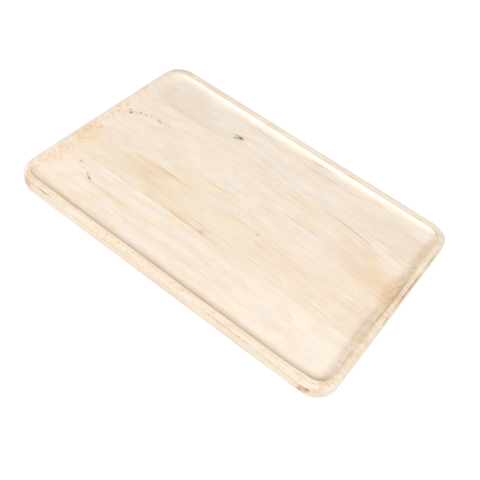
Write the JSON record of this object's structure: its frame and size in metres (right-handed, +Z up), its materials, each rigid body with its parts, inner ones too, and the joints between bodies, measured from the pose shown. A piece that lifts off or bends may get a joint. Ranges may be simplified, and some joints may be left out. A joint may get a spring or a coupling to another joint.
{
  "type": "serving tray",
  "caption": "Low rectangular wooden serving tray carved from edge-glued boards, with rounded corners, a raised rim and a shallow coved recess.",
  "frame": {"origin": "middle of the flat underside", "axes": "+X along the long side, with the wood grain; +Y towards the back board; +Z up, out of the recess"},
  "size_m": [0.45, 0.305, 0.022],
  "materials": {
    "front_board_wood": "sanded, bare, pale cream, straight fine grain",
    "front_middle_board_wood": "sanded, bare, pale tan with orange streaks",
    "back_middle_board_wood": "sanded, bare, pale tan with cathedral figure",
    "back_board_wood": "sanded, bare, pale greyish tan with a dark knot",
    "cured_glue": "cured wood glue, darkened line"
  },
  "bodies": {
    "root": {"front_board": "front_board_wood", "front_middle_board": "front_middle_board_wood", "back_middle_board": "back_middle_board_wood", "back_board": "back_board_wood", "front_glue_line": "cured_glue", "middle_glue_line": "cured_glue", "back_glue_line": "cured_glue"}
  },
  "joints": []
}
